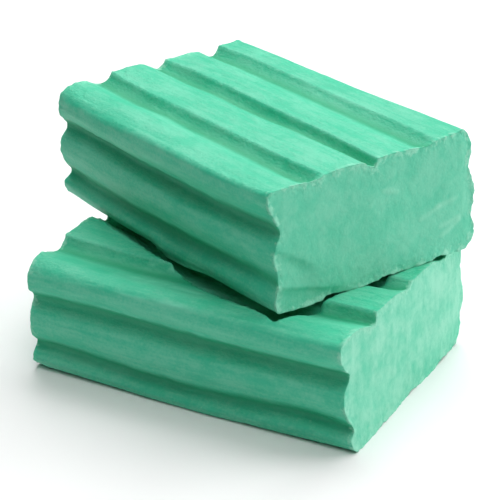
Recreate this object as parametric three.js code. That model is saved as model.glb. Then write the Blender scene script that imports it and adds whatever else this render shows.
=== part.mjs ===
// Two ribbed floral bricks, each cut from an extruded bar of dense putty.
// One lies flat and the other rests loosely across it, turned and set back.
// Millimetres. +X runs along the lower brick's ribs, +Y across them, +Z up.
// The origin is under the middle of the pair, at the height it stands on.
import * as THREE from "three";

// The length that each brick is cut to, and the round of the bar's long edges.
const LENGTH = 110;
const CORNER_RADIUS = 4;

// Every groove slopes in gently and steps out sharply, the same way round the whole bar.
const STEEP_RUN = 1.6;
const LIP_ROUND = 1.2;
const TOP_GROOVE = { depth: 2.8, gentleRun: 6.5 };
const SIDE_GROOVE = { depth: 2.9, gentleRun: 5 };
const BOTTOM_GROOVE = { depth: 1, gentleRun: 6.5 };

// Groove centres, as shares of the width from the near edge and of the height from the bottom.
const TOP_GROOVES = [0.26, 0.53, 0.82];
const NEAR_SIDE_GROOVES = [0.26, 0.69];
const FAR_SIDE_GROOVES = [0.23, 0.66];

// The lower brick has settled under the upper one, so it is a little wider and less tall.
// The knife leaned: each cut end reaches further at its foot and at its far side.
const LOWER = { width: 78, height: 36.5, lean: 2.7, skew: 2.4, shade: 0.96 };
const UPPER = { width: 76.5, height: 37.5, lean: 4.6, skew: 1.8, shade: 1 };

// Where the upper brick rests on the lower one.
const UPPER_SHIFT_ALONG = -7.8;
const UPPER_SHIFT_ACROSS = 22.6;
const UPPER_TURN = THREE.MathUtils.degToRad(-22.4);
const REST_GAP = 0.3;

const CURVE_STEPS = 4;

const GREEN = new THREE.Color(0x62c49e);

function putty(shade) {
  return new THREE.MeshStandardMaterial({
    color: GREEN.clone().multiplyScalar(shade),
    roughness: 0.6,
    metalness: 0,
  });
}

// One side of the section, walked from corner to corner. A groove's share counts from the first corner.
function traceSide(outline, { corner, along, length, grooves, groove }) {
  const { depth, gentleRun } = groove;
  const inward = new THREE.Vector2(along.y, -along.x);
  const at = (distance, sunk) =>
    corner.clone().addScaledVector(along, distance).addScaledVector(inward, sunk);
  const curveTo = (control, end) =>
    outline.quadraticCurveTo(control.x, control.y, end.x, end.y);

  for (const share of grooves) {
    const centre = share * length;
    const start = at(centre - gentleRun, 0);
    const middle = at(centre - gentleRun / 2, depth / 2);
    const floor = at(centre, depth);
    const step = at(centre + STEEP_RUN, depth / 2);
    const lip = at(centre + STEEP_RUN + LIP_ROUND, 0);
    outline.lineTo(start.x, start.y);
    curveTo(at(centre - gentleRun * 0.75, 0), middle);
    curveTo(at(centre - gentleRun * 0.25, depth), floor);
    curveTo(at(centre + STEEP_RUN, depth), step);
    curveTo(at(centre + STEEP_RUN, 0), lip);
  }

  const turn = at(length - CORNER_RADIUS, 0);
  outline.lineTo(turn.x, turn.y);
  curveTo(at(length, 0), at(length, CORNER_RADIUS));
}

// The bar's section: up the near side, over the top, down the far side and back underneath.
function barSection(width, height) {
  const half = width / 2;
  const mirrored = (shares) => shares.map((share) => 1 - share).reverse();
  const sides = [
    {
      corner: new THREE.Vector2(-half, 0),
      along: new THREE.Vector2(0, 1),
      length: height,
      grooves: NEAR_SIDE_GROOVES,
      groove: SIDE_GROOVE,
    },
    {
      corner: new THREE.Vector2(-half, height),
      along: new THREE.Vector2(1, 0),
      length: width,
      grooves: TOP_GROOVES,
      groove: TOP_GROOVE,
    },
    {
      corner: new THREE.Vector2(half, height),
      along: new THREE.Vector2(0, -1),
      length: height,
      grooves: mirrored(FAR_SIDE_GROOVES),
      groove: SIDE_GROOVE,
    },
    {
      corner: new THREE.Vector2(half, 0),
      along: new THREE.Vector2(-1, 0),
      length: width,
      grooves: mirrored(TOP_GROOVES),
      groove: BOTTOM_GROOVE,
    },
  ];
  const outline = new THREE.Shape();
  outline.moveTo(-half, CORNER_RADIUS);
  for (const side of sides) traceSide(outline, side);
  return outline;
}

// The section is drawn in X and Y and extruded along Z: this turns it to stand across X.
const SECTION_TO_BAR = new THREE.Matrix4().makeBasis(
  new THREE.Vector3(0, 1, 0),
  new THREE.Vector3(0, 0, 1),
  new THREE.Vector3(1, 0, 0),
);

function brick(name, { width, height, lean, skew, shade }) {
  const geometry = new THREE.ExtrudeGeometry(barSection(width, height), {
    depth: LENGTH,
    steps: 1,
    bevelEnabled: false,
    curveSegments: CURVE_STEPS,
  });
  geometry.applyMatrix4(SECTION_TO_BAR);
  geometry.translate(-LENGTH / 2, 0, 0);

  const place = geometry.attributes.position;
  for (let i = 0; i < place.count; i++) {
    if (place.getX(i) < 0) continue;
    const foot = lean * (0.5 - place.getZ(i) / height);
    const farSide = skew * (place.getY(i) / width);
    place.setX(i, place.getX(i) + foot + farSide);
  }
  geometry.computeVertexNormals();

  const mesh = new THREE.Mesh(geometry, putty(shade));
  mesh.name = name;
  return mesh;
}

const lowerBrick = brick("lower_brick", LOWER);

const upperBrick = brick("upper_brick", UPPER);
upperBrick.position.set(UPPER_SHIFT_ALONG, UPPER_SHIFT_ACROSS, LOWER.height + REST_GAP);
upperBrick.rotation.z = UPPER_TURN;

// The pair is centred on its footprint.
const pair = new THREE.Group();
pair.add(lowerBrick, upperBrick);
const extent = new THREE.Box3().setFromObject(pair, true);
const middle = extent.getCenter(new THREE.Vector3());
pair.position.set(-middle.x, -middle.y, 0);

const bricks = new THREE.Group();
bricks.add(pair);

export default bricks;
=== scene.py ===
"""Two ribbed bricks of green floral putty, the upper one lying turned across the lower one."""
import itertools
import math
from dataclasses import dataclass

import bpy
import numpy as np
from mathutils import Matrix, Vector
from mathutils.bvhtree import BVHTree


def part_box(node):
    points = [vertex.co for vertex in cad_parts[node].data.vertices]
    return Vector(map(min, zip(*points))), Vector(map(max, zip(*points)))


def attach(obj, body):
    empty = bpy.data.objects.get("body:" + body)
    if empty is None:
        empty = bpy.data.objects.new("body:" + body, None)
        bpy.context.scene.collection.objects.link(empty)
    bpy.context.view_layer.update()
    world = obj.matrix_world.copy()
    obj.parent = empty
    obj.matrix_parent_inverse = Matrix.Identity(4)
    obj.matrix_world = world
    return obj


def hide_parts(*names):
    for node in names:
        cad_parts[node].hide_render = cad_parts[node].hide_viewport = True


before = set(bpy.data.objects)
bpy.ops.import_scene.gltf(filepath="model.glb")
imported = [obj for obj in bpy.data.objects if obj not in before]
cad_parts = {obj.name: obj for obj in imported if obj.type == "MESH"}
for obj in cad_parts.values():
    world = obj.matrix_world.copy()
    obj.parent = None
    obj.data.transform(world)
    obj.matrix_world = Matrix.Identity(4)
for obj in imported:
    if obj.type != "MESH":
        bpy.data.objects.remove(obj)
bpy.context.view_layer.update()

MM = 0.001

# How the upper brick is turned on the lower one, in degrees.
UPPER_TURN = -22.4

# The gap that is kept between the two bricks where one lies on the other, in millimetres.
REST_CLEARANCE = 0.02

# How many mesh steps each stretch of a section gets.
CORNER_STEPS = 6
LAND_STEPS = {"across": 17, "up": 10}
GENTLE_STEPS = {"across": 12, "up": 10}
STEEP_STEPS = {"across": 8, "up": 7}

# Mesh stations along a brick, in millimetres. From each cut end the first step is short, and each next
# one is longer, up to the spacing.
STATION_SPACING = 0.85
FIRST_STATION = 0.12
STATION_GROWTH = 1.28

# The noise's strength, and how far apart the rows are that noise along a line is taken from.
NOISE_STRENGTH = 1.7
NOISE_ROW = 7.3


# ---------------------------------------------------------------- noise


class Noise:
    """Seeded gradient noise in three dimensions, from about -1 to 1."""

    def __init__(self, seed):
        rng = np.random.default_rng(seed)
        self.order = rng.permutation(256)
        gradients = rng.normal(size=(256, 3))
        self.gradients = gradients / np.linalg.norm(gradients, axis=1, keepdims=True)

    def at(self, points, size):
        """The noise at points, where size is a lump's size, one number or one for each axis."""
        place = np.asarray(points, float) / np.asarray(size, float)
        cell = np.floor(place).astype(int)
        inside = place - cell
        ease = inside**3 * (inside * (inside * 6 - 15) + 10)
        total = np.zeros(place.shape[:-1])
        for corner in itertools.product((0, 1), repeat=3):
            key = np.zeros(place.shape[:-1], int)
            weight = np.ones(place.shape[:-1])
            for axis, step in enumerate(corner):
                key = self.order[(key + cell[..., axis] + step) & 255]
                weight = weight * (ease[..., axis] if step else 1 - ease[..., axis])
            offset = inside - np.array(corner)
            total += weight * np.einsum("...i,...i->...", self.gradients[key], offset)
        return total * NOISE_STRENGTH

    def along(self, places, size, row):
        """Noise along a line. Each row is another line."""
        places = np.asarray(places, float)
        points = np.stack([places, np.full_like(places, row * NOISE_ROW), np.full_like(places, 0.5)], -1)
        return self.at(points, (size, 1, 1))


def smooth(t):
    t = np.clip(t, 0, 1)
    return t * t * (3 - 2 * t)


def eased(knots, u):
    """A smooth line through (place, value) knots."""
    places, values = np.array(knots).T
    step = np.clip(np.searchsorted(places, u, side="right") - 1, 0, len(places) - 2)
    t = (u - places[step]) / (places[step + 1] - places[step])
    return values[step] + (values[step + 1] - values[step]) * smooth(t)


def through(values, u):
    """A smooth curve through values spread evenly from the left end of a brick to its cut end."""
    places = np.linspace(0, 1, len(values))
    return np.polyval(np.polyfit(places, values, len(values) - 1), u)


# ---------------------------------------------------------------- a brick's measures


@dataclass
class Groove:
    """A groove between two ribs. A tuple's numbers are spread evenly from the left end to the cut end.

    The place is where the groove is deepest, in millimetres across the bar from its near edge
    or up from its bottom. It slopes in over gentle, and out over steep, going round the bar.
    A hollow groove sinks early in its gentle slope, from 0 for an even S to 1 for a scoop.
    Shut is the share of its depth that the knife has smeared full at the cut end.
    """

    place: tuple
    depth: tuple
    gentle: tuple
    steep: tuple
    hollow: float = 0.0
    shut: float = 0.35


@dataclass
class Brick:
    """A brick's own shape, in millimetres. The bar lies along x, with its cut end at the far end of x.

    Turn is in degrees. Lean and skew are how far the cut end leans back from foot to top, and swings
    from its near side to its far one. Seed starts the brick's noise.
    Near, top, far and bottom are the grooves of the four sides.
    Corners are the radii at bottom near, top near, top far and bottom far, and swell is how far each
    side bulges. In them, and in brow, droop and toe, the numbers run evenly from the left end to the
    cut end. Brow is how far the near side's top hangs over, droop how far the top's near edge sags, and
    toe how far the near side's foot stands out.
    Crests are how much higher each rib of the top stands at the left end.
    Heel is how far the cut end's foot stands out at its near side and sinks in at its far side, and
    far_fall how far the cut end's far edge is sunk.
    Foot_line is how far the near foot is raised, at shares of the brick's length.
    Smear is the direction of the knife's stroke on the cut ends, across and up.
    A ledge on the cut end has its upper edge's height at the near side, its fall, how far across it
    reaches, how tall it is and how deep.
    The near side's lines run from (along, up) to (along, up): pale scratches, and painted highlights along
    its top and foot edges. Cut_scratches are lines on the cut end, from (across, up) to (across, up).
    """

    name: str
    node: str
    turn: float
    lean: float
    skew: float
    seed: int
    near: list
    top: list
    far: list
    bottom: list
    corners: tuple
    swell: tuple
    brow: tuple
    droop: tuple
    toe: tuple
    crests: tuple
    heel: float
    far_fall: float
    foot_line: tuple
    smear: tuple
    ledges: tuple
    scratches: tuple
    cut_scratches: tuple


UPPER = Brick(
    name="upper_putty",
    node="upper_brick",
    turn=UPPER_TURN,
    lean=4.6,
    skew=1.8,
    seed=11,
    near=[
        Groove((9.0, 8.2, 7.5, 7.8, 9.2), (2.7, 3.2, 3.4, 3.2, 0.5), (5.2, 4.2, 4.6), (5.0, 4.2, 4.2)),
        Groove((25.2, 25.6, 24.0, 24.0, 24.4), (2.5, 3.9, 2.9), (5.4, 4.4, 4.8), (3.6, 4.4, 4.4)),
    ],
    top=[
        Groove((17.4, 15.9, 15.4, 15.6, 16.6), (2.6, 2.6, 2.7), (7.5, 7.5, 6.6), (4.2, 3.7, 3.7), shut=0.7),
        Groove((39.8, 39.2, 38.4, 38.9, 39.2), (2.7, 2.6, 2.9), (6.5, 6.5, 4.5), (4.2, 3.0, 1.1), shut=0.3),
        Groove((62.2, 60.0, 59.2, 59.2, 58.8), (2.8, 1.8, 2.0), (6.0, 7.5, 7.5), (4.4, 5.2, 4.8), shut=0.6),
    ],
    far=[
        Groove((8.6, 8.8, 9.4), (2.9, 2.6, 1.7), (5.0, 5.0, 5.0), (2.6, 2.8, 3.2)),
        Groove((24.6, 24.6, 24.8), (2.9, 2.6, 1.9), (5.0, 5.2, 5.6), (2.6, 3.0, 3.6)),
    ],
    bottom=[
        Groove((19.9, 20.0, 19.0), (1.0, 1.0, 0.8), (6.0, 6.0, 6.0), (2.6, 2.6, 2.6)),
        Groove((40.5, 40.8, 40.5), (1.1, 1.0, 0.7), (6.0, 6.0, 6.0), (2.6, 2.6, 2.6)),
        Groove((62.7, 62.6, 62.0), (1.0, 1.0, 0.8), (6.0, 6.0, 6.0), (2.6, 2.6, 2.6)),
    ],
    corners=((4.4, 1.6, 1.2), (5.6, 2.6, 1.9, 1.9, 2.2), (3.4, 3.2, 2.6), (4.6, 4.4, 5.0)),
    swell=((-0.3, 0.6, -0.9), (0.0, 0.0, -0.9), (0.2, 0.4, 1.2), (0.0, 0.0, 0.0)),
    brow=(0.0, 2.0, 2.5, 2.7, 1.2),
    droop=(0.3, 1.2, 0.7, 0.8, 0.4),
    toe=(0.0, 0.0, 0.0),
    crests=(0.1, 0.5, -0.8, -0.8),
    heel=0.0,
    far_fall=0.3,
    foot_line=(
        (0.0, 0.5),
        (0.2, 0.0),
        (0.43, 0.1),
        (0.51, -2.3),
        (0.57, -2.4),
        (0.72, -0.2),
        (0.9, -0.1),
        (1.0, 0.1),
    ),
    smear=(1.0, 0.4),
    ledges=((20.0, 0.6, 17.0, 3.4, 0.8), (8.0, 0.25, 32.0, 3.2, 0.8)),
    scratches=(
        (14.0, 27.5, 22.0, 27.6),
        (62.0, 12.4, 74.0, 12.6),
        # The next two lines are a painted highlight along the near foot's edge.
        (56.0, -1.6, 66.0, -1.3),
        (68.0, -0.2, 80.0, 0.2),
    ),
    cut_scratches=(
        (56.0, 13.8, 63.2, 16.0),
        (63.2, 16.0, 70.7, 17.0),
        (63.2, 9.6, 71.2, 10.7),
        (61.7, 5.9, 71.1, 9.7),
        (42.0, 26.6, 47.2, 24.8),
    ),
)

LOWER = Brick(
    name="lower_putty",
    node="lower_brick",
    turn=0.0,
    lean=2.7,
    skew=2.4,
    seed=29,
    near=[
        Groove((9.0, 7.8, 6.8, 7.9, 7.6), (2.7, 3.1, 3.4), (5.0, 4.2, 3.2), (3.0, 4.2, 5.0), shut=0.1),
        Groove((25.2, 24.9, 24.2, 24.0, 24.6), (2.6, 3.3, 3.6), (5.8, 5.2, 5.2), (3.0, 4.2, 4.2), shut=0.1),
    ],
    top=[
        Groove((17.6, 16.6, 18.9), (3.0, 3.0, 3.3), (9.5, 11.0, 9.0), (3.8, 3.6, 1.6), hollow=0.6, shut=0.1),
        Groove((44.4, 41.0, 40.4), (2.8, 2.4, 2.2), (4.5, 6.5, 5.5), (3.0, 4.2, 3.2)),
        Groove((63.2, 63.0, 64.4), (2.8, 2.4, 2.4), (6.5, 6.5, 6.0), (4.2, 4.2, 4.2)),
    ],
    far=[
        Groove((8.5, 8.8, 9.4), (2.9, 2.6, 1.8), (5.0, 5.0, 5.0), (2.6, 2.8, 3.0)),
        Groove((24.2, 24.4, 25.0), (2.9, 2.6, 1.5), (5.0, 5.2, 5.6), (2.6, 3.0, 3.2)),
    ],
    bottom=[
        Groove((20.3, 20.4, 20.0), (1.0, 1.0, 1.0), (6.0, 6.0, 6.0), (2.6, 2.6, 2.6)),
        Groove((41.3, 41.5, 41.0), (1.0, 1.0, 1.0), (6.0, 6.0, 6.0), (2.6, 2.6, 2.6)),
        Groove((64.0, 63.8, 64.0), (1.0, 1.0, 1.0), (6.0, 6.0, 6.0), (2.6, 2.6, 2.6)),
    ],
    corners=((3.8, 2.0, 3.8), (6.8, 2.8, 2.0, 2.0, 2.2), (3.4, 3.2, 2.8), (5.4, 5.0, 5.4)),
    swell=((0.0, 0.5, 0.4), (0.2, 0.0, -0.3), (0.0, 0.3, 1.5), (0.0, 0.0, 0.0)),
    brow=(0.5, 1.7, 1.8, 2.0, 2.0),
    droop=(0.5, 0.4, 0.3, 1.1, 0.5),
    toe=(0.5, 0.3, -0.4),
    crests=(0.2, 0.7, 0.65, 0.0),
    heel=1.3,
    far_fall=0.0,
    foot_line=((0.0, 1.2), (0.05, 0.3), (0.5, 0.0), (1.0, 0.0)),
    smear=(0.0, 1.0),
    ledges=((26.0, 0.3, 8.0, 3.0, 0.3),),
    scratches=(
        (27.0, 27.9, 40.0, 27.4),
        # The next two lines are a painted highlight along the top's near edge.
        (33.0, 35.0, 44.0, 34.8),
        (48.0, 35.2, 58.0, 35.3),
        (61.0, 27.7, 70.0, 27.2),
    ),
    cut_scratches=((30.0, 12.0, 32.5, 22.0), (14.0, 8.0, 15.0, 16.0)),
)

# The section's sides are near, top, far and bottom.
TOP_SIDE = 1

# The surface's unevenness, in millimetres.
RIB_CROWN = {"across": 0.35, "up": 0.75}
RIB_CROWN_WIDTH = 8.0
RIB_EDGE_RISE = {"across": 0.2, "up": -0.35}
RIB_EDGE_WIDTH = 1.8
LUMPS = ((26.0, 0.34), (9.0, 0.13), (3.4, 0.05))
LUMP_STRETCH = 1.6
DENT_SIZE = 5.5
DENT_STRETCH = 1.5
DENT_DEPTH = 0.55
DRAG_LINES = ((60.0, 1.5, 0.05), (35.0, 0.8, 0.02))
GROOVE_WANDER = ((30.0, 0.35), (8.0, 0.14), (2.6, 0.06))
LIP_WANDER = {"across": ((5.0, 0.22), (2.0, 0.2)), "up": ((9.0, 0.3), (3.0, 0.12))}
DEPTH_WANDER = 0.14
DEPTH_WANDER_SIZE = 18.0
SWELL_REACH = 7.0
BROW_TALL = 12.0
BROW_WIDE = 14.0
DROOP_WIDE = 10.0
TOE_REACH = 8.0
CREST_REACH = 0.12
FOOT_REACH = 5.0

# Dents are where their noise is above this.
DENT_FROM = 0.42

# How narrow a rib's top may get before a groove, and how near a groove's lip may come to the corner after
# it, in millimetres.
LAND_BEFORE = 0.6
LAND_AFTER = 0.5

# How far down a groove's gentle slope its painted shade starts to deepen.
GROOVE_SHADE_FROM = {"across": 0.5, "up": 0.0}

# Parts of the noise that are apart from each other: shifts in it, and layers of it.
DENT_SHIFT = 200
DRAG_SHIFT = 90
SCUFF_SHIFT = 300
BURR_LAYERS = (5.0, 65.0)
RELIEF_LAYERS = (40.0, 130.0)
CRUMB_LAYERS = (7.0, 8.0)
CUT_SCUFF_LAYER = 77.0

# The cut ends, in millimetres. The knife smears each groove partly shut beside the cut.
SMEARED_REACH = 2.6
CUT_ROUND = 0.5
CUT_ROUND_DROP = 0.145
CUT_LUMPS = ((24.0, 0.45), (8.0, 0.16), (2.6, 0.05))
CUT_SMEARS = ((16.0, 2.6, 0.07), (9.0, 1.1, 0.03))
BURR_HEIGHT = 0.33
BURR_WIDTH = 0.75
CRUMBLE = 0.4
CRUMBLE_REACH = 2.4
CRUMB_SIZE = 1.3
RIM_REACH = 1.8
FAR_FALL_WIDTH = 4.0
HEEL_TALL = 14.0
CUT_SHAPE_REACH = 3.0

# The burr of a cut rim, from 0 to BURR_MOST: its usual size, and its noise as (lump size, amount, shift).
BURR_USUAL = 0.45
BURR_MOST = 1.3
BURR_NOISE = ((9.0, 0.7, 0.0), (1.9, 0.6, 31.7))

# The left end is a cleaner cut: its shares of the cut end's lean and skew.
LEFT_LEAN = 0.1
LEFT_SKEW = -0.2

# The rings of mesh inside a cut rim: each one's inset in millimetres, and how many times it is evened out.
CUT_INSETS = ((0.13, 1), (0.32, 2), (0.6, 6))
GRID_EVENINGS = 24

# How many points to each side a rim's outward direction is evened out over.
FACING_SPREAD = 3

# Scratches, the near side's painted highlight lines and the painted highlight along its foot, in
# millimetres: their width, the ridge that the lines raise, and the size of their breaks.
# They are nearly whole where the noise is 0 or more, and the break is how quickly they fade below it.
SCRATCH_AND_HIGHLIGHT_WIDTH = 0.45
CUT_SCRATCH_WIDTH = 0.8
SCRATCH_RISE = 0.14
SCRATCH_AND_HIGHLIGHT_SQUEEZE = 0.4
FOOT_HIGHLIGHT_WIDTH = 1.2
SCUFF_WHOLE = 0.9
SCUFF_BREAK = 1.6
SCUFF_BREAK_SIZE = (3.5, 9.0, 9.0)
CUT_SCUFF_BREAK = 1.2
CUT_SCUFF_BREAK_SIZE = (5.0, 3.0, 1.0)

# How pale a cut rim is where it has no burr, on the skin and on the cut end, and how pale it may get.
# The pale rim is torn, crumbly putty, and in part a painted highlight that grows with the burr.
SKIN_RIM_PALENESS = 0.2
SKIN_RIM_MOST = 1.1
CUT_RIM_PALENESS = 0.25

# Crumbs have broken out of a cut end where their noise is above minus this.
CRUMBS_FROM = 0.1

# The furrow that the upper brick has pressed into the lower one, in millimetres: its reach in front of the
# upper brick's near side and its depth, at shares of that brick's length, then both at its cut end.
FURROW_REACH = ((0.0, 1.6), (0.4, 2.3), (0.48, 3.0), (0.62, 3.1), (0.72, 2.5), (0.9, 2.4), (1.0, 2.0))
FURROW_DEPTH = ((0.0, 0.6), (0.1, 0.8), (0.27, 3.4), (0.41, 6.6), (0.8, 6.6), (1.0, 5.0))
END_FURROW_REACH = 1.7
END_FURROW_DEPTH = ((0.0, 3.4), (0.4, 2.8), (1.0, 1.2))
FURROW_WALL = 1.2
FURROW_WANDER = ((12.0, 0.6), (4.0, 0.35), (1.6, 0.2))
FURROW_INSIDE = 6.0

# The length over which the furrow fades out past the upper brick's corners and towards the lower brick's
# sides, and the height below which it leaves them alone, in millimetres.
FURROW_FADE = 4.0
FURROW_FOOT = 26.0

# How far below and above each point of the lower brick the upper one's underside is looked for, in
# millimetres.
SETTLE_REACH = 8


# ---------------------------------------------------------------- a brick's section


def start_of_side(radius):
    """The half of a corner's arc that a side starts with: distances along it and depths in from it."""
    angle = np.linspace(math.pi / 4, 0, CORNER_STEPS + 1)
    return radius[:, None] * (1 - np.sin(angle)), radius[:, None] * (1 - np.cos(angle))


def gentle_slope(t, kind, hollow):
    """From 0 on a rib to 1 on the groove's floor, which is wider on the standing sides."""
    floor_starts = {"across": 1.0, "up": 0.8}[kind]
    return (1 - hollow) * smooth(t / floor_starts) + hollow * np.sin(t * math.pi / 2)


def steep_step(t, kind):
    """From 0 on the groove's floor to 1 on the rib: a hollow rise to a crisp lip, or a round shoulder."""
    crisp = t**3
    shoulder = 1 - (1 - t) ** 2.2
    rise, even = {"across": (crisp, 0.15), "up": (shoulder, 0.6)}[kind]
    return (1 - even) * rise + even * smooth(t)


def ribbed_side(kind, length, first_radius, last_radius, grooves, swell, crests, u, x, noise, row):
    """One side of the section at every station: distances along it, depths in from it and a mask of painted
    groove shade.

    Grooves have places counted from the side's first corner.
    """
    count = len(u)
    begin_along, begin_sunk = start_of_side(first_radius)
    along, sunk, mask = [begin_along], [begin_sunk], [np.zeros_like(begin_sunk)]
    edge = first_radius
    after_step = np.zeros(count)
    for number, groove in enumerate(grooves):
        wander = sum(h * noise.along(x, size, row + number * 3.7) for size, h in GROOVE_WANDER)
        nicks = sum(h * noise.along(x, size, row + 130 + number) for size, h in LIP_WANDER[kind])
        deeper = DEPTH_WANDER * noise.along(x, DEPTH_WANDER_SIZE, row + 50 + number)
        depth = through(groove.depth, u) * (1 + deeper)
        depth = depth * (1 - groove.shut * np.exp(-(((x[-1] - x) / SMEARED_REACH) ** 2)))
        floor = through(groove.place, u) + wander
        start = np.maximum(floor - through(groove.gentle, u), edge + LAND_BEFORE)
        lip = np.minimum(floor + through(groove.steep, u) + nicks, length - last_radius - LAND_AFTER)
        add_land(along, sunk, mask, kind, edge, start, after_step)
        t = np.linspace(0, 1, GENTLE_STEPS[kind] + 1)[1:]
        along.append(start[:, None] + t * (floor - start)[:, None])
        sunk.append(depth[:, None] * gentle_slope(t, kind, groove.hollow))
        # The groove's painted shade deepens down its gentle slope and fades up its steep one.
        painted_shade = smooth((t - GROOVE_SHADE_FROM[kind]) / (1 - GROOVE_SHADE_FROM[kind])) ** 2
        mask.append(np.ones((count, 1)) * painted_shade)
        t = np.linspace(0, 1, STEEP_STEPS[kind] + 1)[1:]
        along.append(floor[:, None] + t * (lip - floor)[:, None])
        sunk.append(depth[:, None] - (depth[:, None] + RIB_EDGE_RISE[kind]) * steep_step(t, kind))
        mask.append(np.ones((count, 1)) * (1 - smooth(t)))
        edge = lip
        after_step = np.ones(count)
    add_land(along, sunk, mask, kind, edge, length - last_radius, after_step)
    end_along, end_sunk = start_of_side(last_radius)
    along.append(length - end_along[:, ::-1][:, 1:])
    sunk.append(end_sunk[:, ::-1][:, 1:])
    mask.append(np.zeros((count, CORNER_STEPS)))
    along, sunk = np.hstack(along), np.hstack(sunk)
    from_corner = np.minimum(along, length - along)
    sunk = sunk - through(swell, u)[:, None] * smooth(from_corner / SWELL_REACH)
    for number, crest in enumerate(crests):
        middle = (number + 0.5) * length / len(crests)
        reach = 0.5 * length / len(crests)
        here = np.exp(-(((along - middle) / reach) ** 4)) * smooth(from_corner / SWELL_REACH)
        sunk = sunk - crest * here * np.exp(-((u / CREST_REACH) ** 2))[:, None]
    return along, sunk, np.hstack(mask)


def add_land(along, sunk, mask, kind, start, end, after_step):
    """The gently crowned top of a rib, a little raised beside the step that it follows."""
    t = np.linspace(0, 1, LAND_STEPS[kind] + 1)[1:]
    width = (end - start)[:, None]
    rise = RIB_EDGE_RISE[kind] * after_step[:, None] * np.exp(-((t * width / RIB_EDGE_WIDTH) ** 2))
    crown = RIB_CROWN[kind] * np.clip(width / RIB_CROWN_WIDTH, 0, 1)
    along.append(start[:, None] + t * width)
    sunk.append(-crown * np.sin(math.pi * t) - rise)
    mask.append(np.zeros((len(start), len(t))))


def section(brick, width, height, u, x, noise):
    """The outline at every station: points across and up, outward directions, and the mask of painted groove
    shade.

    It runs up the near side, over the top, down the far side and back underneath.
    """
    bottom_near, top_near, top_far, bottom_far = (through(radius, u) for radius in brick.corners)

    def from_far(grooves, length):
        return [
            Groove(tuple(length - p for p in g.place), g.depth, g.gentle, g.steep, g.hollow, g.shut)
            for g in reversed(grooves)
        ]

    sides = [
        ("up", height, bottom_near, top_near, brick.near, (0, 0), (0, 1)),
        ("across", width, top_near, top_far, brick.top, (0, height), (1, 0)),
        ("up", height, top_far, bottom_far, from_far(brick.far, height), (width, height), (0, -1)),
        ("across", width, bottom_far, bottom_near, from_far(brick.bottom, width), (width, 0), (-1, 0)),
    ]
    rings, masks, counts = [], [], []
    for row, (kind, length, first, last, grooves, corner, direction) in enumerate(sides):
        crests = brick.crests if row == TOP_SIDE else ()
        along, sunk, mask = ribbed_side(
            kind, length, first, last, grooves, brick.swell[row], crests, u, x, noise, row * 20.0
        )
        direction = np.array(direction, float)
        inward = np.array([direction[1], -direction[0]])
        points = np.array(corner, float) + along[..., None] * direction + sunk[..., None] * inward
        rings.append(points[:, :-1])
        masks.append(mask[:, :-1])
        counts.append(points.shape[1] - 1)
    ring = np.concatenate(rings, axis=1)
    brow = smooth((ring[..., 1] - height) / BROW_TALL + 1) * smooth(1 - ring[..., 0] / BROW_WIDE)
    ring[..., 0] -= through(brick.brow, u)[:, None] * brow
    droop = np.clip(1 - ring[..., 0] / DROOP_WIDE, 0, 1.2) ** 1.5
    droop = smooth(2 * ring[..., 1] / height - 1) * droop
    ring[..., 1] -= through(brick.droop, u)[:, None] * droop
    toe = smooth(1 - ring[..., 1] / TOE_REACH) * smooth(1 - ring[..., 0] / BROW_WIDE)
    ring[..., 0] -= through(brick.toe, u)[:, None] * toe
    from_foot = np.linalg.norm(ring, axis=-1)
    ring[..., 1] += eased(brick.foot_line, u)[:, None] * np.exp(-((from_foot / FOOT_REACH) ** 2))
    tangent = np.roll(ring, -1, axis=1) - np.roll(ring, 1, axis=1)
    tangent /= np.linalg.norm(tangent, axis=-1, keepdims=True)
    outward = np.stack([-tangent[..., 1], tangent[..., 0]], -1)
    return ring, outward, np.concatenate(masks, axis=1), counts


# ---------------------------------------------------------------- a brick's mesh


def stations(length):
    """Places along a brick, drawn together towards both cut ends."""
    start = [0.0]
    step = FIRST_STATION
    while step < STATION_SPACING:
        start.append(start[-1] + step)
        step *= STATION_GROWTH
    start = np.array(start)
    middle_count = int((length - 2 * start[-1]) / STATION_SPACING)
    middle = np.linspace(start[-1], length - start[-1], middle_count + 1)[1:-1]
    return np.concatenate([start, middle, (length - start)[::-1]])


def coons(edge, counts):
    """Fills a closed outline with an even grid of points. Its four sides have counts steps each."""
    up, across = counts[0], counts[1]
    near = edge[: up + 1]
    top = edge[up : up + across + 1]
    far = edge[up + across : 2 * up + across + 1][::-1]
    bottom = np.vstack([edge[2 * up + across :], edge[:1]])[::-1]

    def spacing(first, second):
        def share(line):
            gone = np.concatenate([[0], np.cumsum(np.linalg.norm(np.diff(line, axis=0), axis=1))])
            return gone / gone[-1]

        return (share(first) + share(second)) / 2

    s = spacing(bottom, top)[:, None, None]
    t = spacing(near, far)[None, :, None]
    grid = bottom[:, None] * (1 - t) + top[:, None] * t
    grid = grid + near[None] * (1 - s) + far[None] * s
    grid = grid - (
        edge[0] * (1 - s) * (1 - t)
        + top[0] * (1 - s) * t
        + bottom[-1] * s * (1 - t)
        + top[-1] * s * t
    )
    for _ in range(GRID_EVENINGS):
        beside = grid[:-2, 1:-1] + grid[2:, 1:-1] + grid[1:-1, :-2] + grid[1:-1, 2:]
        grid[1:-1, 1:-1] = beside / 4
    return grid


def rim_burr(outline, noise, layer):
    """How far the knife has dragged the rim out at each point of an outline."""
    points = np.column_stack([outline, np.full(len(outline), layer)])
    burr = BURR_USUAL
    for size, amount, shift in BURR_NOISE:
        burr = burr + amount * noise.at(points + shift, (size, size, 1.0))
    return np.clip(burr, 0.0, BURR_MOST)


def rim_shape(distance, burr):
    """The rounding and burr beside a cut rim, as a distance out of the surface."""
    rounding = CUT_ROUND_DROP * np.clip(1 - distance / CUT_ROUND, 0, 1) ** 2
    return BURR_HEIGHT * burr * np.exp(-((distance / BURR_WIDTH) ** 2)) - rounding


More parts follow.
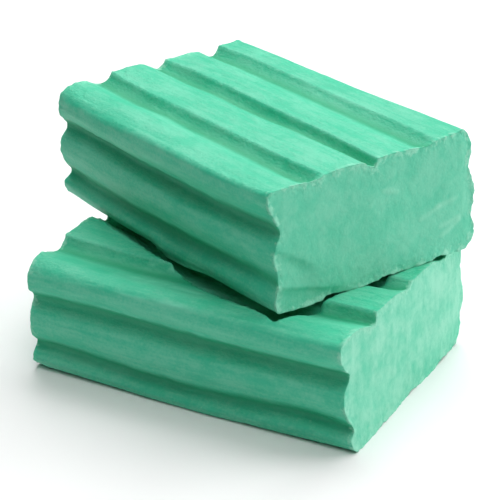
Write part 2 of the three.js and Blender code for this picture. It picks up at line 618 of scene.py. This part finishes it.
def cut_relief(brick, across, up, width, height, noise, end):
    """How far a cut end stands out of its plane: soft lumps, and smears along the knife's stroke."""
    stroke = np.array(brick.smear, float) / np.linalg.norm(brick.smear)
    along = across * stroke[0] + up * stroke[1]
    aside = across * stroke[1] - up * stroke[0]
    layer = np.full_like(across, RELIEF_LAYERS[end])
    points = np.stack([across, up, layer], -1)
    relief = sum(h * noise.at(points, size) for size, h in CUT_LUMPS)
    strokes = np.stack([along, aside, layer], -1)
    for length, spacing, h in CUT_SMEARS:
        relief = relief + h * noise.at(strokes, (length, spacing, 1.0))
    if end == 1:
        for top, fall, wide, tall, depth in brick.ledges:
            below = np.clip(top - fall * across - up, 0, None) / tall
            relief = relief - depth * below * np.exp(1 - below) * smooth(2 - 2 * across / wide)
        relief = relief - brick.far_fall * smooth((across - width + FAR_FALL_WIDTH) / FAR_FALL_WIDTH)
        relief = relief + brick.heel * (1 - 2 * across / width) * np.clip(1 - up / HEEL_TALL, 0, 1)
        relief = relief + SCRATCH_RISE * cut_scuff(brick, across, up, noise)
    return relief


def near_line(x, y, line, width, squeeze=1.0):
    """From 0 to 1 for how near each point is to a line. A squeeze below 1 makes it reach past its ends."""
    x0, y0, x1, y1 = line
    run = np.array([x1 - x0, y1 - y0])
    share = np.clip(((x - x0) * run[0] + (y - y0) * run[1]) / (run @ run), 0, 1)
    away = np.hypot((x - x0 - share * run[0]) * squeeze, y - y0 - share * run[1])
    return np.exp(-((away / width) ** 2))


def cut_scuff(brick, across, up, noise):
    """The pale, broken scratches on a cut end."""
    points = np.stack([across, up, np.full_like(across, CUT_SCUFF_LAYER)], -1)
    broken = smooth(SCUFF_WHOLE + CUT_SCUFF_BREAK * noise.at(points, CUT_SCUFF_BREAK_SIZE))
    return broken * sum(near_line(across, up, line, CUT_SCRATCH_WIDTH) for line in brick.cut_scratches)


def own_frame(brick):
    """The turn from the brick's own frame to the part's, its lowest corner and its size, in millimetres."""
    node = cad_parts[brick.node]
    place = np.array([v.co for v in node.data.vertices]) / MM
    turn = math.radians(brick.turn)
    c, s = math.cos(turn), math.sin(turn)
    to_part = np.array([[c, -s, 0], [s, c, 0], [0, 0, 1]])
    own = place @ to_part
    low, high = own.min(0), own.max(0)
    return to_part, low, high - low - np.array([(brick.lean + brick.skew) / 2, 0, 0])


def build_brick(brick):
    """The brick's mesh in the part's frame, as an object, with the attributes that its material reads."""
    noise = Noise(brick.seed)
    to_part, low, (length, width, height) = own_frame(brick)

    x = stations(length)
    u = x / length
    ring, outward, mask, counts = section(brick, width, height, u, x, noise)
    rows, around = ring.shape[:2]
    xs = np.broadcast_to(x[:, None], (rows, around))
    points = np.concatenate([xs[..., None], ring], -1)

    bulge = sum(h * noise.at(points, (size * LUMP_STRETCH, size, size)) for size, h in LUMPS)
    dents = noise.at(points + DENT_SHIFT, (DENT_SIZE * DENT_STRETCH, DENT_SIZE, DENT_SIZE))
    bulge = bulge - DENT_DEPTH * np.clip(dents - DENT_FROM, 0, 1)
    for line_length, spacing, h in DRAG_LINES:
        bulge = bulge + h * noise.at(points + DRAG_SHIFT, (line_length, spacing, spacing))

    scuff_and_edge_highlight = np.zeros((rows, around))
    on_near_side = ring[..., 0] < width / 4
    broken = smooth(SCUFF_WHOLE + SCUFF_BREAK * noise.at(points + SCUFF_SHIFT, SCUFF_BREAK_SIZE))
    broken = broken * on_near_side
    for line in brick.scratches:
        line_mark = near_line(xs, ring[..., 1], line, SCRATCH_AND_HIGHLIGHT_WIDTH, SCRATCH_AND_HIGHLIGHT_SQUEEZE)
        scuff_and_edge_highlight = np.maximum(scuff_and_edge_highlight, line_mark * broken)
    bulge = bulge + SCRATCH_RISE * scuff_and_edge_highlight
    # A painted highlight along the near foot's edge, carried with the pale marks.
    from_foot = np.hypot(ring[..., 0], ring[..., 1] - eased(brick.foot_line, u)[:, None])
    scuff_and_edge_highlight = np.maximum(scuff_and_edge_highlight, np.exp(-((from_foot / FOOT_HIGHLIGHT_WIDTH) ** 2)) * broken)

    # End 0 is the left end and end 1 the cut end.
    end_rows = (0, rows - 1)
    rim = np.zeros((rows, around))
    burrs = []
    for end, distance in enumerate((xs, length - xs)):
        burr = rim_burr(ring[end_rows[end]], noise, BURR_LAYERS[end])
        burrs.append(burr)
        bulge = bulge + rim_shape(distance, burr[None, :])
        # The pale rim: torn crumbs, and in part a painted highlight that grows with the burr.
        paleness = np.clip(burr + SKIN_RIM_PALENESS, 0, SKIN_RIM_MOST)
        rim = np.maximum(rim, np.exp(-((distance / RIM_REACH) ** 2)) * paleness[None, :])
    ring = ring + outward * bulge[..., None]

    end_ways = (-1, 1)
    end_leans = (LEFT_LEAN * brick.lean, brick.lean)
    end_skews = (LEFT_SKEW * brick.skew, brick.skew)

    def knife(across, up, end):
        """How far the cut plane's lean and skew carry a point along the brick."""
        return end_leans[end] * (0.5 - up / height) + end_skews[end] * (across / width - 0.5)

    shift = np.zeros((rows, around))
    for end, distance in enumerate((xs, length - xs)):
        outline = ring[end_rows[end]]
        plane = knife(ring[..., 0], ring[..., 1], end) * (1 - distance / length)
        edge_out = cut_relief(brick, outline[:, 0], outline[:, 1], width, height, noise, end)
        edge_out = edge_out + rim_shape(np.zeros(around), burrs[end])
        shift = shift + plane + end_ways[end] * edge_out[None, :] * np.exp(-distance / CUT_SHAPE_REACH)
    skin = np.concatenate([(xs + shift)[..., None], ring], -1)

    vertices = [skin.reshape(-1, 3)]
    # The mask of painted shade in the grooves.
    groove_shade = [mask.reshape(-1)]
    rims = [rim.reshape(-1)]
    cut = [np.zeros(rows * around)]
    scuffs_and_edge_highlight = [scuff_and_edge_highlight.reshape(-1)]
    faces = []
    for i in range(rows - 1):
        for j in range(around):
            k = (j + 1) % around
            faces.append((i * around + j, (i + 1) * around + j, (i + 1) * around + k, i * around + k))

    def cut_surface(inner, distance, burr, end):
        """Points of a cut end, from their places on it, distances in from its rim and the burr there."""
        out = cut_relief(brick, inner[:, 0], inner[:, 1], width, height, noise, end)
        out = out + rim_shape(distance, burr)
        layered = np.column_stack([inner, np.full(len(inner), CRUMB_LAYERS[end])])
        crumbs = noise.at(layered, (CRUMB_SIZE, CRUMB_SIZE, 1.0))
        depth = CRUMBLE * np.clip(crumbs + CRUMBS_FROM, 0, 1) * np.exp(-distance / CRUMBLE_REACH)
        out = out - depth * smooth(distance / CUT_ROUND)
        plane = end * length + knife(inner[:, 0], inner[:, 1], end)
        return np.column_stack([plane + end_ways[end] * out, inner])

    def add_points(inner, distance, burr, end):
        """Adds a cut end's points, with the values that the material reads."""
        vertices.append(cut_surface(inner, distance, burr, end))
        groove_shade.append(np.zeros(len(inner)))
        # The pale rim: torn crumbs, and in part a painted highlight that grows with the burr.
        paleness = np.clip(burr + CUT_RIM_PALENESS, 0, 1)
        rims.append(np.exp(-((distance / CRUMBLE_REACH) ** 2)) * paleness)
        cut.append(np.ones(len(inner)))
        scuffs_and_edge_highlight.append(end * cut_scuff(brick, inner[:, 0], inner[:, 1], noise))

    up_count, across_count = counts[0], counts[1]
    first_free = rows * around
    for end, row in enumerate(end_rows):
        outline = ring[row]
        spread = range(-FACING_SPREAD, FACING_SPREAD + 1)
        facing = sum(np.roll(outward[row], k, axis=0) for k in spread)
        facing = facing / np.linalg.norm(facing, axis=1, keepdims=True)
        loop = row * around + np.arange(around)
        for inset, evenings in CUT_INSETS:
            line = outline - facing * inset
            for _ in range(evenings):
                line = line / 2 + (np.roll(line, 1, axis=0) + np.roll(line, -1, axis=0)) / 4
            add_points(line, np.full(around, inset), burrs[end], end)
            next_loop = first_free + np.arange(around)
            first_free += around
            for j in range(around):
                k = (j + 1) % around
                quad = (loop[j], next_loop[j], next_loop[k], loop[k])
                faces.append(quad if end == 1 else quad[::-1])
            loop = next_loop
        grid = coons(line, counts)
        inner = grid[1:-1, 1:-1].reshape(-1, 2)
        gaps = np.linalg.norm(inner[:, None] - outline[None], axis=-1)
        add_points(inner, gaps.min(1), burrs[end][gaps.argmin(1)], end)
        index = np.zeros((across_count + 1, up_count + 1), int)
        index[1:-1, 1:-1] = first_free + np.arange(len(inner)).reshape(across_count - 1, up_count - 1)
        first_free += len(inner)
        index[0, :] = loop[: up_count + 1]
        index[:, -1] = loop[up_count : up_count + across_count + 1]
        index[-1, :] = loop[up_count + across_count : 2 * up_count + across_count + 1][::-1]
        index[:, 0] = np.concatenate([loop[2 * up_count + across_count :], loop[:1]])[::-1]
        for i in range(across_count):
            for j in range(up_count):
                quad = (index[i, j], index[i + 1, j], index[i + 1, j + 1], index[i, j + 1])
                faces.append(quad if end == 1 else quad[::-1])

    in_bar = np.vstack(vertices)
    in_part = (in_bar + low) @ to_part.T

    mesh = bpy.data.meshes.new(brick.name)
    mesh.from_pydata((in_part * MM).tolist(), [], [tuple(int(v) for v in f) for f in faces])
    mesh.validate()
    mesh.shade_smooth()
    for name, values in (("groove_shade", groove_shade), ("rim", rims), ("cut", cut), ("scuff_and_edge_highlight", scuffs_and_edge_highlight)):
        mesh.attributes.new(name, "FLOAT", "POINT").data.foreach_set("value", np.concatenate(values))
    mesh.attributes.new("bar", "FLOAT_VECTOR", "POINT").data.foreach_set("vector", (in_bar * MM).ravel())
    piece = bpy.data.objects.new(brick.name, mesh)
    bpy.context.scene.collection.objects.link(piece)
    return piece


def press_furrow(lower):
    """Sinks the lower brick's top along the upper one's near side and cut end."""
    noise = Noise(LOWER.seed + 1)
    to_part, low, (length, width, _) = own_frame(UPPER)
    places = np.array([v.co for v in lower.data.vertices])
    own = places / MM @ to_part - low
    along, beyond = own[:, 0], own[:, 1]
    wander = sum(h * noise.at(own, size) for size, h in FURROW_WANDER)
    u = np.clip(along / length, 0, 1)
    v = np.clip(beyond / width, 0, 1)
    before_side = -beyond - eased(FURROW_REACH, u) - wander
    before_end = along - length - END_FURROW_REACH - wander
    before = np.maximum(before_side, before_end)
    from_side = 1 - smooth((beyond - FURROW_INSIDE) / FURROW_INSIDE)
    from_end = 1 - smooth((length - along - FURROW_INSIDE) / FURROW_INSIDE)
    depth = np.maximum(eased(FURROW_DEPTH, u) * from_side, eased(END_FURROW_DEPTH, v) * from_end)
    past_start = smooth((along + FURROW_FADE) / FURROW_FADE)
    past_start = past_start * smooth((width + FURROW_FADE - beyond) / FURROW_FADE)
    sunk = depth * smooth(-before / FURROW_WALL)
    on_top = smooth((places[:, 2] / MM - FURROW_FOOT) / FURROW_FADE)
    places[:, 2] -= sunk * past_start * on_top * MM
    lower.data.vertices.foreach_set("co", places.ravel())


def settle(lower, upper):
    """Presses the lower brick's surface down under the upper one, and keeps it on the ground."""
    points = [v.co for v in upper.data.vertices]
    above = BVHTree.FromPolygons(points, [tuple(f.vertices) for f in upper.data.polygons])
    reach = SETTLE_REACH * MM
    for vertex in lower.data.vertices:
        place = vertex.co
        place.z = max(place.z, 0.0)
        start = place - Vector((0, 0, reach))
        hit = above.ray_cast(start, Vector((0, 0, 1)), 2 * reach)[0]
        if hit is not None:
            place.z = min(place.z, hit.z - REST_CLEARANCE * MM)


# ---------------------------------------------------------------- material

# The putty's colours, in linear light.
GREEN = (0.036, 0.53, 0.31, 1)
# Painted shade in the grooves.
GROOVE_SHADE_GREEN = (0.003, 0.33, 0.15, 1)
SOFT_GREEN = (0.125, 0.6, 0.39, 1)
CUT_GREEN = (0.072, 0.545, 0.34, 1)
PALE = (0.27, 0.69, 0.5, 1)
# The pale marks: scratches, and the painted highlights along the near side's edges.
SCUFF_AND_HIGHLIGHT_GREEN = (0.17, 0.68, 0.47, 1)

# The putty's roughness before its noise, its shine, and the height of its fine bumps in millimetres.
ROUGHNESS = 0.4
SHINE = 0.5
BUMP_HEIGHT = 0.3


class Putty:
    """A putty material while it is being made, with a short call for each kind of node."""

    def __init__(self, name):
        self.material = bpy.data.materials.new(name)
        self.material.use_nodes = True
        self.tree = self.material.node_tree
        self.shader = self.tree.nodes["Principled BSDF"]
        self.place = self.add("ShaderNodeAttribute", attribute_name="bar").outputs["Vector"]

    def add(self, kind, inputs=(), **settings):
        made = self.tree.nodes.new(kind)
        for name, value in settings.items():
            setattr(made, name, value)
        for name, value in dict(inputs).items():
            self.feed(made.inputs[name], value)
        return made

    def feed(self, socket, value):
        if isinstance(value, bpy.types.NodeSocket):
            self.tree.links.new(value, socket)
        else:
            socket.default_value = value

    def painted(self, name):
        """A value that the mesh carries at its points."""
        return self.add("ShaderNodeAttribute", attribute_name=name).outputs["Fac"]

    def noise(self, size, detail=2.0, turn=0.0, shift=0.0):
        """Noise about 0.5. Size is a lump's size in millimetres, along, across and up the bar."""
        moved = (shift * MM, 0, 0)
        turned = self.add(
            "ShaderNodeMapping",
            {"Vector": self.place, "Rotation": (math.radians(turn), 0, 0), "Location": moved},
        )
        scaled = self.add(
            "ShaderNodeMapping",
            {"Vector": turned.outputs["Vector"], "Scale": tuple(1 / (s * MM) for s in size)},
        )
        texture = self.add(
            "ShaderNodeTexNoise",
            {"Vector": scaled.outputs["Vector"], "Scale": 1.0, "Detail": detail, "Roughness": 0.55},
        )
        return texture.outputs["Fac"]

    def rise(self, value, low, high, top=1.0):
        """Goes smoothly from 0 to top as the value goes from low to high."""
        made = self.add(
            "ShaderNodeMapRange",
            {"Value": value, "From Min": low, "From Max": high, "To Min": 0.0, "To Max": top},
            interpolation_type="SMOOTHSTEP",
        )
        return made.outputs["Result"]

    def sum(self, *terms):
        """The sum of (value, weight) terms."""
        total = None
        for value, weight in terms:
            term = self.add("ShaderNodeMath", {0: value, 1: weight, 2: 0.0}, operation="MULTIPLY_ADD")
            if total is not None:
                self.feed(term.inputs[2], total)
            total = term.outputs[0]
        return total

    def product(self, first, second):
        return self.add("ShaderNodeMath", {0: first, 1: second}, operation="MULTIPLY").outputs[0]

    def mix(self, amount, first, second):
        made = self.add("ShaderNodeMix", {0: amount, 6: first, 7: second}, data_type="RGBA")
        return made.outputs[2]

    def bump(self, height, distance):
        """The normal over a height map, where distance is how high 1 is, in millimetres."""
        made = self.add("ShaderNodeBump", {"Height": height, "Distance": distance * MM, "Strength": 1.0})
        return made.outputs["Normal"]


def putty_material(name, stroke_turn, end_paleness):
    """Green putty: drawn along the bar, mottled, with painted shade in its grooves, pale and crumbly where
    the knife has dragged its edges, in part as a painted highlight on the burrs, and with painted highlights
    along the near side's edges.

    Stroke_turn is how far the knife's stroke on the cut ends leans from upright, in degrees.
    End_paleness is how far the cut ends' patches turn pale, from 0 to 1.
    """
    putty = Putty(name)

    # What the mesh carries: painted shade in a groove, a pale cut rim that is in part a painted highlight, a
    # cut end, and scratches with the painted highlights along the near side's edges.
    groove_shade = putty.painted("groove_shade")
    rim = putty.painted("rim")
    cut = putty.painted("cut")
    scuff_and_edge_highlight = putty.painted("scuff_and_edge_highlight")

    patches = putty.noise((16, 8, 8), 2.0, shift=20)
    blotches = putty.noise((6, 4, 4), 3.0)
    mottle = putty.noise((2.4, 1.8, 1.8), 3.0, shift=40)
    grain = putty.noise((0.8, 0.7, 0.7), 2.0, shift=80)
    streaks = putty.noise((28, 1.3, 1.3), 2.0, shift=120)
    smears = putty.noise((6, 5, 18), 2.0, turn=stroke_turn, shift=180)
    strokes = putty.noise((3, 1.5, 9), 2.0, turn=stroke_turn, shift=200)
    crumbs = putty.noise((1.6, 1.5, 1.5), 3.0, shift=240)

    # The skin drawn along the bar.
    tone = putty.sum((patches, 0.45), (blotches, 0.25), (mottle, 0.25), (streaks, 0.36), (grain, 0.3))
    skin = putty.mix(putty.rise(tone, 0.64, 0.98), GREEN, SOFT_GREEN)
    # Painted shade: the grooves turn a deeper green.
    skin = putty.mix(putty.product(groove_shade, 0.8), skin, GROOVE_SHADE_GREEN)
    # Scratches and the painted highlights along the near side's edges turn a paler green.
    skin = putty.mix(putty.product(scuff_and_edge_highlight, 0.7), skin, SCUFF_AND_HIGHLIGHT_GREEN)

    # The cut ends.
    cut_tone = putty.sum(
        (smears, 0.25),
        (patches, 0.5),
        (blotches, 0.35),
        (strokes, 0.05),
        (mottle, 0.25),
        (grain, 0.2),
    )
    cut_skin = putty.mix(putty.rise(cut_tone, 0.6, 0.98, top=end_paleness), CUT_GREEN, PALE)
    cut_skin = putty.mix(putty.product(scuff_and_edge_highlight, 0.45), cut_skin, PALE)
    colour = putty.mix(cut, skin, cut_skin)

    # Pale crumbs along the rims, and in part a painted highlight on their burrs.
    ragged = putty.sum((rim, 0.8), (crumbs, 1.9), (blotches, 0.6))
    colour = putty.mix(putty.rise(ragged, 1.6, 2.15, top=0.8), colour, PALE)
    putty.feed(putty.shader.inputs["Base Color"], colour)

    dull = putty.sum((mottle, 0.22), (streaks, 0.1), (rim, 0.15), (groove_shade, 0.06))
    roughness = putty.sum((dull, 1.0), (cut, -0.03), (1.0, ROUGHNESS))
    putty.feed(putty.shader.inputs["Roughness"], roughness)
    putty.shader.inputs["Specular IOR Level"].default_value = SHINE

    # Fine bumps: drawn ones on the skin, and knifed ones on the cut ends instead.
    drawn = putty.sum((blotches, 0.8), (mottle, 0.85), (grain, 0.5), (streaks, 0.2))
    knifed = putty.sum((smears, 0.15), (strokes, 0.1), (blotches, 0.65), (mottle, 0.4), (grain, 0.12))
    crumbly = putty.product(rim, crumbs)
    change = putty.product(cut, putty.sum((knifed, 1.0), (drawn, -1.0)))
    height = putty.sum((drawn, 1.0), (change, 1.0), (crumbly, 1.0))
    putty.feed(putty.shader.inputs["Normal"], putty.bump(height, BUMP_HEIGHT))
    return putty.material


# ---------------------------------------------------------------- the pair

# How each brick's cut ends look: the knife's stroke from upright, in degrees, and how pale they are.
CUT_LOOKS = {"lower_brick": (3.0, 0.8), "upper_brick": (65.0, 0.36)}

pieces = {brick.node: build_brick(brick) for brick in (LOWER, UPPER)}
press_furrow(pieces["lower_brick"])
settle(pieces["lower_brick"], pieces["upper_brick"])
for node, piece in pieces.items():
    piece.data.materials.append(putty_material(piece.name, *CUT_LOOKS[node]))
    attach(piece, node)
    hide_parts(node)


# ---------------------------------------------------------------- floor, light and camera

FLOOR_SIZE = 6.0
FLOOR_WHITE = (0.93, 0.93, 0.93, 1)
FLOOR_ROUGHNESS = 0.9

half = FLOOR_SIZE / 2
floor_corners = [(-half, -half, 0), (half, -half, 0), (half, half, 0), (-half, half, 0)]
floor_mesh = bpy.data.meshes.new("floor")
floor_mesh.from_pydata(floor_corners, [], [(0, 1, 2, 3)])
floor = bpy.data.objects.new("floor", floor_mesh)
bpy.context.scene.collection.objects.link(floor)
floor_material = bpy.data.materials.new("floor")
floor_material.use_nodes = True
floor_shader = floor_material.node_tree.nodes["Principled BSDF"]
floor_shader.inputs["Base Color"].default_value = FLOOR_WHITE
floor_shader.inputs["Roughness"].default_value = FLOOR_ROUGHNESS
floor_mesh.materials.append(floor_material)

# The camera stands off the lower brick's near side and cut end. Angles are in degrees, distances in metres
# from the middle of the lower brick's foot, and the lens and sensor in millimetres.
CAMERA_AZIMUTH = 28.74
CAMERA_ELEVATION = 25.52
CAMERA_ROLL = -0.39
CAMERA_DISTANCE = 0.5674
CAMERA_ASIDE = 0.0012
CAMERA_RAISED = 0.033
LENS = 128.8
SENSOR = 36.0
CLIP_START = 0.01

azimuth = math.radians(CAMERA_AZIMUTH)
elevation = math.radians(CAMERA_ELEVATION)
forward = Vector(
    (
        -math.sin(azimuth) * math.cos(elevation),
        math.cos(azimuth) * math.cos(elevation),
        -math.sin(elevation),
    )
)
right = Vector((math.cos(azimuth), math.sin(azimuth), 0))
upward = right.cross(forward)
roll = math.radians(CAMERA_ROLL)
rolled_right = right * math.cos(roll) + upward * math.sin(roll)
rolled_up = upward * math.cos(roll) - right * math.sin(roll)

lower_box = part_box("lower_brick")
lower_end = lower_box[1].x - (LOWER.lean + LOWER.skew) / 2 * MM
foot_middle = Vector(((lower_box[0].x + lower_end) / 2, (lower_box[0].y + lower_box[1].y) / 2, 0))

camera = bpy.data.objects.new("camera", bpy.data.cameras.new("camera"))
camera.data.lens = LENS
camera.data.sensor_width = SENSOR
camera.data.clip_start = CLIP_START
aside = rolled_right * CAMERA_ASIDE
raised = rolled_up * CAMERA_RAISED
camera_place = foot_middle - forward * CAMERA_DISTANCE + aside + raised
axes = Matrix((rolled_right, rolled_up, -forward)).transposed().to_4x4()
camera.matrix_world = Matrix.Translation(camera_place) @ axes
bpy.context.scene.collection.objects.link(camera)
bpy.context.scene.camera = camera


# The soft lights: name, direction, size in metres and power in watts. A direction is right of, beyond and
# above the pair's middle, as the camera sees it.
LIGHTS = (
    ("overhead_beyond", (0.1, 0.6, 1.0), 0.9, 10.6),
    ("overhead", (0.0, 0.0, 1.0), 0.9, 3.9),
    ("overhead_front", (0.0, -0.6, 1.0), 0.9, 4.0),
    ("key", (0.95, 0.15, 0.3), 0.6, 7.7),
)
LIGHT_DISTANCE = 1.1
PAIR_MIDDLE = Vector((0, 0, 0.037))
STUDIO_WHITE = (1, 1, 1, 1)
STUDIO_FILL = 0.02


def soft_light(name, direction, size, power):
    """A square soft light, aimed at the pair's middle."""
    data = bpy.data.lights.new(name, "AREA")
    data.shape = "SQUARE"
    data.size = size
    data.energy = power
    lamp = bpy.data.objects.new(name, data)
    level = Vector((forward.x, forward.y, 0)).normalized()
    aim = (right * direction[0] + level * direction[1] + Vector((0, 0, direction[2]))).normalized()
    lamp.location = PAIR_MIDDLE + aim * LIGHT_DISTANCE
    lamp.rotation_euler = aim.to_track_quat("Z", "Y").to_euler()
    bpy.context.scene.collection.objects.link(lamp)


for light in LIGHTS:
    soft_light(*light)

world = bpy.data.worlds.new("studio")
world.use_nodes = True
background = world.node_tree.nodes["Background"]
background.inputs["Color"].default_value = STUDIO_WHITE
background.inputs["Strength"].default_value = STUDIO_FILL
bpy.context.scene.world = world
bpy.context.scene.view_settings.view_transform = "Standard"
